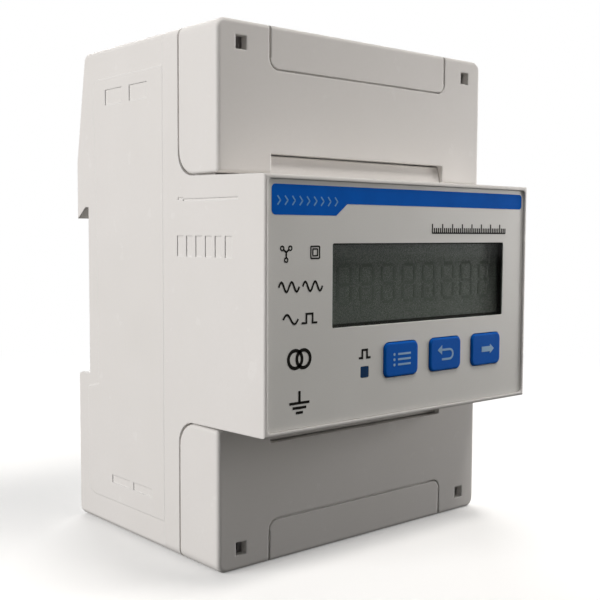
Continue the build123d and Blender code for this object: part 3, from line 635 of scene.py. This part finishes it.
def stroke(line, width, face, closed=False, height=INK):
    """A stroke of even width along (x, z) points in mm, open or closed."""
    count = len(line)
    corners = []
    for index, here in enumerate(line):
        before = line[index - 1] if closed or index > 0 else None
        after = line[(index + 1) % count] if closed or index < count - 1 else None
        before = before or tuple(2 * Vector(here) - Vector(after))
        after = after or tuple(2 * Vector(here) - Vector(before))
        step = side_step(before, here, after, width)
        left, right = Vector(here) + step, Vector(here) - step
        for edge in (left, right):
            corners.append((edge.x, face - height, edge.y))
            corners.append((edge.x, face + SINK, edge.y))
    faces = []
    for index in range(count if closed else count - 1):
        a, b = 4 * index, 4 * ((index + 1) % count)
        faces.append((a + 2, b + 2, b, a))
        faces.append((a + 1, b + 1, b + 3, a + 3))
        faces.append((b + 2, a + 2, a + 3, b + 3))
        faces.append((a, b, b + 1, a + 1))
    if not closed:
        end = 4 * (count - 1)
        faces.append((2, 0, 1, 3))
        faces.append((end, end + 2, end + 3, end + 1))
    return corners, faces


def arc(centre, radius, start=0.0, turn=360.0, points=28):
    """Points on an arc, in mm and degrees. A whole circle leaves its last point out."""
    steps = points if abs(turn) >= 360 else points - 1
    angles = [math.radians(start + turn * index / steps) for index in range(points)]
    return [(centre[0] + radius * math.cos(a), centre[1] + radius * math.sin(a)) for a in angles]


def rectangle(x, z, corner=0.0):
    """A rectangle between two pairs of limits, with round corners if they are asked for."""
    if not corner:
        return [(x[0], z[0]), (x[1], z[0]), (x[1], z[1]), (x[0], z[1])]
    outline = []
    left, right, low, high = x[0] + corner, x[1] - corner, z[0] + corner, z[1] - corner
    for centre, start in (((right, low), -90), ((right, high), 0), ((left, high), 90), ((left, low), 180)):
        outline += arc(centre, corner, start, 90, 7)
    return outline


def piece(name, shapes, material, body):
    """One object made of several closed shapes given in mm, riding on a CAD body."""
    corners, faces = [], []
    for shape_corners, shape_faces in shapes:
        first = len(corners)
        corners += [mm(*corner) for corner in shape_corners]
        faces += [[first + index for index in face] for face in shape_faces]
    mesh = bpy.data.meshes.new(name)
    mesh.from_pydata(corners, [], faces)
    mesh.materials.append(material)
    made = bpy.data.objects.new(name, mesh)
    bpy.context.scene.collection.objects.link(made)
    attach(made, body)
    print(name, "-", len(shapes), "shapes")
    return made


# %% [markdown]
# Screen ink dries as an even, nearly matt film that takes on the mesh of its screen. The keys are printed
# with a soft pad instead, in a pale ink. One recipe serves both, as they differ only in colour and gloss.

# %% Inks


def ink(name, colour, thin, roughness):
    """Screen ink: an even film, a little thinner here and there, with the mesh's fine texture."""
    material, tree, shader, place = new_finish(name)
    film = two_tone(tree, place, 5, colour, thin, most=0.8, detail=3, seed=2)
    screen, rough = mottle(tree, place, 0.14, roughness - 0.05, roughness + 0.06, detail=1, seed=6)
    dress(tree, shader, film, rough, screen, 0.25, 0.003)
    shader.inputs["Specular IOR Level"].default_value = 0.03
    return material


black_ink = ink("screen_ink_black", "#1B1A18", "#262522", 0.42)
blue_ink = ink("screen_ink_blue", "#0265CE", "#025EC2", 0.66)
pale_blue_ink = ink("screen_ink_pale_blue", "#7FB2E4", "#6FA6DC", 0.4)
pad_ink = ink("pad_print_pale_blue", "#A9C9E6", "#97BBDD", 0.45)
print("four inks")

# %% [markdown]
# The blue stripe runs along the top of the label. Its left end is deeper, and a diagonal leads down to
# it. Positions are measured from the plate's middle, which comes from the CAD box of the face plate.

# %% The blue stripe
plate_low, plate_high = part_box("face_plate")
PLATE_FACE = plate_low.y * 1000
PLATE_MIDDLE = (plate_low.z + plate_high.z) / 2 * 1000
STRIPE_X = (-34.2, 34.5)
STRIPE_TOP = PLATE_MIDDLE + 20.75
STRIPE_LOW = PLATE_MIDDLE + 17.65
STRIPE_DEEP = PLATE_MIDDLE + 15.55
STEP_X = (-19.4, -16.7)
STRIPE_CORNER = 0.8
STRIPE_INK = 0.03  # mm, a little thinner than the other ink, so that the chevrons stand out of it


def stripe_outline():
    """Round corners at both ends, and the diagonal between the deep part and the narrow one."""
    left, right = STRIPE_X
    r = STRIPE_CORNER
    return [
        *arc((left + r, STRIPE_DEEP + r), r, 180, 90, 6), (STEP_X[0], STRIPE_DEEP), (STEP_X[1], STRIPE_LOW),
        *arc((right - r, STRIPE_LOW + r), r, -90, 90, 6), *arc((right - r, STRIPE_TOP - r), r, 0, 90, 6),
        *arc((left + r, STRIPE_TOP - r), r, 90, 90, 6),
    ]


piece("printed_stripe", [prism(stripe_outline(), PLATE_FACE, STRIPE_INK)], blue_ink, "meter")

# %% [markdown]
# Left of the display stand the usual signs of an electricity meter. The star is a three-phase network,
# the double square says that the case is doubly insulated, and the waves stand for the alternating
# current and voltage lines. Two overlapping circles are a transformer, the rake is the earth sign, and
# the square pulse marks the test light.

# %% Printed signs
LINE_THIN = 0.36
STAR_ARMS = {38: 0.78, 142: 0.78, 270: 0.95}  # degrees from +X, and mm from the middle to the ring
STAR_RING = 0.36


def star_sign(x, z):
    """The three-phase star: three arms with a ring on each end."""
    shapes = []
    for angle, reach in STAR_ARMS.items():
        tip, ring = [(x + far * math.cos(math.radians(angle)), z + far * math.sin(math.radians(angle)))
                     for far in (reach, reach + STAR_RING)]
        shapes.append(stroke([(x, z), tip], 0.30, PLATE_FACE))
        shapes.append(stroke(arc(ring, STAR_RING, points=16), 0.24, PLATE_FACE, closed=True))
    return shapes


def double_square(x, z):
    """One square inside another: the sign for double insulation."""
    outer = rectangle((x - 1.02, x + 1.02), (z - 1.05, z + 1.05), 0.18)
    inner = rectangle((x - 0.55, x + 0.55), (z - 0.6, z + 0.6), 0.08)
    return [stroke(outer, 0.26, PLATE_FACE, closed=True), stroke(inner, 0.24, PLATE_FACE, closed=True)]


def wave_line(x, z, length, height, periods):
    """A sine wave that starts at x."""
    count = 12 * periods + 1
    steps = [index / (count - 1) for index in range(count)]
    line = [(x + length * s, z + height / 2 * math.sin(2 * math.pi * periods * s)) for s in steps]
    return stroke(line, LINE_THIN, PLATE_FACE)


def square_pulse(x, z, length, height, width=LINE_THIN):
    """A pulse on its base line, from the left."""
    line = [(x, z), (x + length * 0.3, z), (x + length * 0.3, z + height), (x + length * 0.7, z + height),
            (x + length * 0.7, z), (x + length, z)]
    return stroke(line, width, PLATE_FACE)


def earth_sign(x, z):
    """A stem over three bars that get shorter."""
    shapes = [stroke([(x, z + 2.1), (x, z)], 0.5, PLATE_FACE)]
    for index in range(3):
        half = 2.3 - 0.75 * index
        level = z - 0.85 * index
        shapes.append(stroke([(x - half, level), (x + half, level)], 0.46, PLATE_FACE))
    return shapes


def transformer_sign(x, z):
    """Two circles that overlap."""
    return [stroke(arc((x + side * 0.95, z), 1.55), 0.6, PLATE_FACE, closed=True) for side in (-1, 1)]


signs = [
    *star_sign(-30.95, PLATE_MIDDLE + 9.15),
    *double_square(-24.35, PLATE_MIDDLE + 9.1),
    wave_line(-32.6, PLATE_MIDDLE + 3.2, 4.6, 1.7, 2),
    wave_line(-27.2, PLATE_MIDDLE + 3.2, 4.6, 1.7, 2),
    wave_line(-31.6, PLATE_MIDDLE - 2.4, 3.4, 1.7, 1),
    square_pulse(-27.4, PLATE_MIDDLE - 3.2, 3.6, 1.6),
    *transformer_sign(-27.9, PLATE_MIDDLE - 9.4),
    *earth_sign(-27.85, PLATE_MIDDLE - 17.1),
    square_pulse(-13.5, PLATE_MIDDLE - 10.45, 3.0, 1.45, 0.42),
]
piece("printed_signs", signs, black_ink, "meter")

# %% [markdown]
# Each key has a pictogram pad-printed on its cap: a list for the menu, a bent arrow for going back, and
# a block arrow for the next value. They ride on their keys, so they travel in with them.

# %% Key pictograms


def key_face(node):
    """The middle and the front of a key cap, in mm."""
    low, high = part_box(node)
    return (low.x + high.x) / 2 * 1000, low.y * 1000


# the box reaches down to a hidden flange, so the middle is counted from the top of the cap
KEY_HEIGHT = 6.5
KEY_MIDDLE = (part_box("menu_key")[1].z - mm(KEY_HEIGHT / 2)) * 1000


def menu_legend(x, z, face):
    shapes = []
    for row in (-1.0, 0.0, 1.0):
        shapes.append(stroke([(x - 1.1, z + row), (x + 2.4, z + row)], 0.38, face))
        shapes.append(prism(arc((x - 2.1, z + row), 0.28, points=12), face))
    return shapes


def back_legend(x, z, face):
    bend = [(x - 1.3, z + 0.85), (x + 1.1, z + 0.85), *arc((x + 1.1, z - 0.1), 0.95, 75, -150, 9),
            (x + 0.9, z - 1.05), (x - 1.2, z - 1.05)]
    head = [(x - 2.5, z + 0.85), (x - 1.2, z - 0.1), (x - 1.2, z + 1.8)]
    return [stroke(bend, 0.42, face), prism(head, face)]


def next_legend(x, z, face):
    return [prism([(x - 1.55, z - 0.55), (x + 1.15, z - 0.55), (x + 1.15, z - 1.0), (x + 2.45, z),
                   (x + 1.15, z + 1.0), (x + 1.15, z + 0.55), (x - 1.55, z + 0.55)], face)]


for key, legend in (("menu", menu_legend), ("back", back_legend), ("next", next_legend)):
    middle, key_front = key_face(f"{key}_key")
    piece(f"{key}_pictogram", legend(middle, KEY_MIDDLE, key_front), pad_ink, f"{key}_button")

# %% [markdown]
# Behind the window a black mask is printed on the flange, which hides the display's frame and draws the
# dark line round the picture area. The lower edge is wider, as the module sits a little high.

# %% The mask behind the window
window_low, window_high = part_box("display_window")
FLANGE = 1.0  # the flange's width beyond what shows
MASK_IN = {"left": 0.35, "right": 0.15, "low": 0.55, "high": 0.2}
MASK_EDGE = 0.05  # mm that the mask stays inside the flange's outline
MASK_INK = 0.03
MASK_BEHIND = 0.05  # mm from the window to the ink's middle layer, so that it doesn't cut into it


def window_mask():
    """Four bars of black ink on the back of the flange."""
    x = (window_low.x * 1000 + MASK_EDGE, window_high.x * 1000 - MASK_EDGE)
    z = (window_low.z * 1000 + MASK_EDGE, window_high.z * 1000 - MASK_EDGE)
    inner_x = (x[0] + FLANGE + MASK_IN["left"], x[1] - FLANGE - MASK_IN["right"])
    inner_z = (z[0] + FLANGE + MASK_IN["low"], z[1] - FLANGE - MASK_IN["high"])
    back = window_high.y * 1000 + MASK_BEHIND
    bars = [rectangle(x, (z[0], inner_z[0])), rectangle(x, (inner_z[1], z[1])),
            rectangle((x[0], inner_x[0]), inner_z), rectangle((inner_x[1], x[1]), inner_z)]
    return [prism(bar, back, MASK_INK) for bar in bars]


piece("window_mask", window_mask(), black_ink, "meter")

# %% [markdown]
# ## What repeats: Geometry Nodes
#
# Rows of equal marks are best made by a rule. A tree of Geometry Nodes lays points on a line, sets a
# small solid on each, and its inputs say how many, how far apart and how large. The printed scale, the
# chevrons, the display's digits and the latch's ribs each have such a tree, and share the helpers that
# lay the row and end the tree. The result is turned into a plain mesh, because a part library stores
# meshes, not modifiers.

# %% Trees and their baking


ROW = {"Start": "Vector", "Count": "Int", "Pitch": "Float"}  # the inputs of every row


def new_tree(name, sockets):
    """A Geometry Nodes tree with named inputs, a material, a geometry output and its group nodes."""
    tree = bpy.data.node_groups.new(name, "GeometryNodeTree")
    tree.interface.new_socket("Geometry", in_out="OUTPUT", socket_type="NodeSocketGeometry")
    for socket_name, kind in {**sockets, "Material": "Material"}.items():
        tree.interface.new_socket(socket_name, in_out="INPUT", socket_type=f"NodeSocket{kind}")
    return tree, add(tree, "NodeGroupInput").outputs, add(tree, "NodeGroupOutput")


def row(tree, given, axis=0):
    """Points in a row along an axis, where the inputs of a row say."""
    step = add(tree, "ShaderNodeCombineXYZ", {axis: given["Pitch"]})
    return add(tree, "GeometryNodeMeshLine", {"Count": given["Count"], "Start Location": given["Start"],
                                              "Offset": step.outputs[0]}).outputs[0]


def end_tree(tree, given, result, points, solid, scale=(1, 1, 1)):
    """Every tree ends alike: the solid set on each point, made real geometry, in one material."""
    placed = add(tree, "GeometryNodeInstanceOnPoints", {"Points": points, "Instance": solid,
                                                        "Scale": scale})
    real = add(tree, "GeometryNodeRealizeInstances", {"Geometry": placed.outputs[0]})
    painted = add(tree, "GeometryNodeSetMaterial", {"Geometry": real.outputs[0],
                                                    "Material": given["Material"]})
    tree.links.new(painted.outputs[0], result.inputs["Geometry"])
    return tree


def grown(name, tree, values, body):
    """Runs a tree once, keeps its mesh and drops the modifier."""
    source = bpy.data.objects.new(name, bpy.data.meshes.new(f"{name}_empty"))
    bpy.context.scene.collection.objects.link(source)
    modifier = source.modifiers.new("rule", "NODES")
    modifier.node_group = tree
    identifiers = {item.name: item.identifier for item in tree.interface.items_tree
                   if item.item_type == "SOCKET" and item.in_out == "INPUT"}
    for socket_name, value in values.items():
        modifier[identifiers[socket_name]] = value
    evaluated = source.evaluated_get(bpy.context.evaluated_depsgraph_get())
    mesh = bpy.data.meshes.new_from_object(evaluated)
    mesh.name = name
    source.modifiers.remove(modifier)
    source.data = mesh
    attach(source, body)
    print(name, "-", len(mesh.polygons), "faces")
    return source


def bar_row_tree():
    """Upright bars in a row along X. Every so many bars, one is taller."""
    tree, given, result = new_tree("bar_row", {**ROW, "Bar": "Vector", "Tall": "Float",
                                               "Tall Every": "Int"})
    index = add(tree, "GeometryNodeInputIndex").outputs[0]
    within = add(tree, "ShaderNodeMath", {0: index, 1: given["Tall Every"]}, operation="MODULO")
    chosen = add(tree, "FunctionNodeCompare", {0: within.outputs[0], 1: 0.5},
                 data_type="FLOAT", operation="LESS_THAN")
    extra = add(tree, "ShaderNodeMath", {0: given["Tall"], 1: chosen.outputs[0]}, operation="MULTIPLY")
    taller = add(tree, "ShaderNodeCombineXYZ", {2: extra.outputs[0]})
    size = add(tree, "ShaderNodeVectorMath", {0: given["Bar"], 1: taller.outputs[0]}, operation="ADD")
    cube = add(tree, "GeometryNodeMeshCube", {"Size": (1, 1, 1)})
    standing = add(tree, "GeometryNodeTransform", {"Geometry": cube.outputs["Mesh"],
                                                   "Translation": (0, 0, 0.5)})
    return end_tree(tree, given, result, row(tree, given), standing.outputs[0], size.outputs[0])


bar_row = bar_row_tree()
print("bar row tree:", len(bar_row.nodes), "nodes")

# %% [markdown]
# The printed scale sits over the right half of the window, where the label has its title. It is a
# plain ruler of ticks, every fifth one tall, with a base line under it.

# %% The printed scale
SCALE_X = (6.2, 29.0)
SCALE_TICKS = 39
scale_z = PLATE_MIDDLE + 12.55
grown("printed_scale", bar_row, {
    "Start": mm(SCALE_X[0], PLATE_FACE - (INK - SINK) / 2, scale_z),
    "Count": SCALE_TICKS, "Pitch": mm((SCALE_X[1] - SCALE_X[0]) / (SCALE_TICKS - 1)),
    "Bar": mm(0.3, INK + SINK, 1.0), "Tall": mm(0.8), "Tall Every": 5, "Material": black_ink,
}, "meter")
scale_base = [(SCALE_X[0] - 0.1, scale_z), (SCALE_X[1] + 0.1, scale_z)]
piece("scale_base_line", [stroke(scale_base, 0.28, PLATE_FACE)], black_ink, "meter")

# %% [markdown]
# In the deep end of the stripe a row of pale chevrons points along the label. One chevron is two short
# bars that lean towards each other and are joined before they are set on the points.

# %% The chevrons in the stripe
ARM_LEAN = math.radians(50)
ARM_RISE = 0.36  # how far an arm's middle is from the chevron's, as a share of the arm's length


def chevron_row_tree():
    """Chevrons in a row along X, each of two arms."""
    tree, given, result = new_tree("chevron_row", {**ROW, "Arm": "Vector"})
    arm = add(tree, "GeometryNodeMeshCube", {"Size": given["Arm"]})
    length = add(tree, "ShaderNodeSeparateXYZ", {0: given["Arm"]}).outputs[0]
    both = add(tree, "GeometryNodeJoinGeometry")
    for side in (-1, 1):
        rise = add(tree, "ShaderNodeMath", {0: length, 1: ARM_RISE * side}, operation="MULTIPLY")
        shift = add(tree, "ShaderNodeCombineXYZ", {2: rise.outputs[0]})
        turned = add(tree, "GeometryNodeTransform", {
            "Geometry": arm.outputs["Mesh"], "Translation": shift.outputs[0],
            "Rotation": (0, ARM_LEAN * side, 0)})
        tree.links.new(turned.outputs[0], both.inputs[0])
    return end_tree(tree, given, result, row(tree, given), both.outputs[0])


CHEVRONS = 9
CHEVRON_X = (-32.6, -19.4)
chevron_pitch = (CHEVRON_X[1] - CHEVRON_X[0]) / (CHEVRONS - 1)
grown("stripe_chevrons", chevron_row_tree(), {
    "Start": mm(CHEVRON_X[0], PLATE_FACE - STRIPE_INK, PLATE_MIDDLE + 18.0), "Count": CHEVRONS,
    "Pitch": mm(chevron_pitch), "Arm": mm(1.05, 0.05, 0.26), "Material": pale_blue_ink,
}, "meter")

# %% [markdown]
# An unlit display still shows its segments as ghosts, a shade off the ground, when light falls across
# it. Eight digits of seven segments are laid out by rule just in front of the glass.

# %% Ghost segments
DIGITS = 8
DIGIT = (3.3, 7.0)  # mm wide and high
SEGMENT = 0.62  # mm, the width of a segment
SHORTER = 1.25  # how many segment widths each one is shorter than its side of the digit
SEGMENT_PLACES = [(0, 1, "flat"), (0, 0, "flat"), (0, -1, "flat"), (-1, 0.5, "up"), (1, 0.5, "up"),
                  (-1, -0.5, "up"), (1, -0.5, "up")]


def digit_row_tree():
    """Digits in a row along X, each of seven bars that don't touch."""
    tree, given, result = new_tree("digit_row", {**ROW, "Depth": "Float"})
    digit = add(tree, "GeometryNodeJoinGeometry")
    half_wide, half_high = DIGIT[0] / 2, DIGIT[1] / 2
    for across, up, lie in SEGMENT_PLACES:
        long_side = (DIGIT[0] if lie == "flat" else half_high) - SEGMENT * SHORTER
        wide, high = (long_side, SEGMENT) if lie == "flat" else (SEGMENT, long_side)
        size = add(tree, "ShaderNodeCombineXYZ", {0: mm(wide), 1: given["Depth"], 2: mm(high)})
        bar = add(tree, "GeometryNodeMeshCube", {"Size": size.outputs[0]})
        moved = add(tree, "GeometryNodeTransform", {
            "Geometry": bar.outputs["Mesh"], "Translation": mm(across * half_wide, 0, up * half_high)})
        tree.links.new(moved.outputs[0], digit.inputs[0])
    return end_tree(tree, given, result, row(tree, given), digit.outputs[0])


glass_low, glass_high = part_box("lcd_glass")
digit_pitch = (window_high.x - window_low.x) * 1000 / (DIGITS + 0.9)
first_digit = (glass_low.x + glass_high.x) / 2 * 1000 - digit_pitch * (DIGITS - 1) / 2
ghost = ink("liquid_crystal_ghost", "#595D59", "#575B57", 0.28)
grown("display_segments", digit_row_tree(), {
    "Start": mm(first_digit, glass_low.y * 1000 - 0.01, (glass_low.z + glass_high.z) / 2 * 1000),
    "Count": DIGITS, "Pitch": mm(digit_pitch), "Depth": mm(0.04), "Material": ghost,
}, "meter")

# %% [markdown]
# The rail latch is pulled down with a fingertip or a blade, so its tail carries grip ribs. They are round
# rods that lie across the latch, stacked upwards and sunk into its rear face so that the backs stand out.

# %% Grip ribs on the latch
FIRST_RIB = 7.6  # mm above the latch's lower end
RIB_SUNK = 0.08  # mm that a rib's axis lies inside the rear face


def rib_column_tree():
    """Rods along X, stacked up Z."""
    tree, given, result = new_tree("rib_column", {**ROW, "Length": "Float", "Radius": "Float"})
    rib = add(tree, "GeometryNodeMeshCylinder", {"Vertices": 16, "Radius": given["Radius"],
                                                 "Depth": given["Length"]})
    laid = add(tree, "GeometryNodeTransform", {"Geometry": rib.outputs["Mesh"],
                                               "Rotation": (0, math.radians(90), 0)})
    return end_tree(tree, given, result, row(tree, given, axis=2), laid.outputs[0])


latch_low, latch_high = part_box("rail_latch")
grown("latch_grip_ribs", rib_column_tree(), {
    "Start": Vector((0, latch_high.y - mm(RIB_SUNK), latch_low.z + mm(FIRST_RIB))), "Count": 6,
    "Pitch": mm(1.3), "Length": mm(14), "Radius": mm(0.36), "Material": plastics["latch_plastic"],
}, "latch")

# %% [markdown]
# A coil spring sits between a post of the case and the latch, and the latch squeezes it when pulled
# down. Here the coil is wound to fill the box of the CAD spring, which it replaces.

# %% The latch's spring
WIRE = 0.2
TURNS = 9


def coil(low, high, wire, turns, sides=8, steps=22):
    """A round wire wound up Z so that it fills a box, in mm, with flat ends."""
    middle = (low + high) / 2
    radius = (high.x - low.x) / 2 - wire
    rise = high.z - low.z - 2 * wire
    count = turns * steps + 1
    corners, faces = [], []
    for ring in range(count):
        angle = 2 * math.pi * ring / steps
        outward = Vector((math.cos(angle), math.sin(angle), 0))
        height = low.z + wire + rise * ring / (count - 1)
        centre = Vector((middle.x, middle.y, height)) + outward * radius
        for side in range(sides):
            turn = 2 * math.pi * side / sides
            corners.append(centre + wire * (outward * math.cos(turn) + Vector((0, 0, math.sin(turn)))))
    for ring in range(count - 1):
        for side in range(sides):
            a, b = ring * sides + side, ring * sides + (side + 1) % sides
            faces.append((a, a + sides, b + sides, b))
    faces.append(list(range(sides)))
    faces.append([count * sides - 1 - side for side in range(sides)])
    return corners, faces


spring_low, spring_high = (corner * 1000 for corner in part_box("latch_spring"))
spring = piece("wound_latch_spring", [coil(spring_low, spring_high, WIRE, TURNS)],
               metals["steel"], "meter")
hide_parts("latch_spring")
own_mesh(spring)

# %% [markdown]
# The rear of the main board carries small surface-mounted parts. They are scattered by rule on a patch
# around its middle, with a fixed seed, so that every run gives the same board.

# %% Small parts on the main board
BOARD_PARTS_SEED = 7
SMALLEST, LARGEST = mm(0.8, 0.45, 0.5), mm(1.9, 0.9, 1.3)
MOST_PARTS = 90000.0  # per square metre, before the gap between them thins them out


def scatter_tree():
    """Small boxes of mixed size on the rear face of a board."""
    tree, given, result = new_tree("board_scatter", {
        "Middle": "Vector", "Size": "Vector", "Gap": "Float", "Seed": "Int"})
    extent = add(tree, "ShaderNodeSeparateXYZ", {0: given["Size"]})
    sheet = add(tree, "GeometryNodeMeshGrid", {"Size X": extent.outputs[0], "Size Y": extent.outputs[2]})
    stood = add(tree, "GeometryNodeTransform", {
        "Geometry": sheet.outputs["Mesh"], "Translation": given["Middle"],
        "Rotation": (math.radians(-90), 0, 0)})
    points = add(tree, "GeometryNodeDistributePointsOnFaces", {
        "Mesh": stood.outputs[0], "Distance Min": given["Gap"], "Density Max": MOST_PARTS,
        "Seed": given["Seed"]}, distribute_method="POISSON")
    size = add(tree, "FunctionNodeRandomValue", {
        0: SMALLEST, 1: LARGEST, "Seed": given["Seed"]}, data_type="FLOAT_VECTOR")
    block = add(tree, "GeometryNodeMeshCube", {"Size": (1, 1, 1)})
    return end_tree(tree, given, result, points.outputs["Points"], block.outputs["Mesh"],
                    size.outputs[0])


board_low, board_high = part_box("main_board")
grown("board_small_parts", scatter_tree(), {
    "Middle": Vector((0, board_high.y + mm(0.2), (board_low.z + board_high.z) / 2)),
    "Size": mm(46, 0, 44), "Gap": mm(3.4), "Seed": BOARD_PARTS_SEED, "Material": plastics["chip"],
}, "meter")
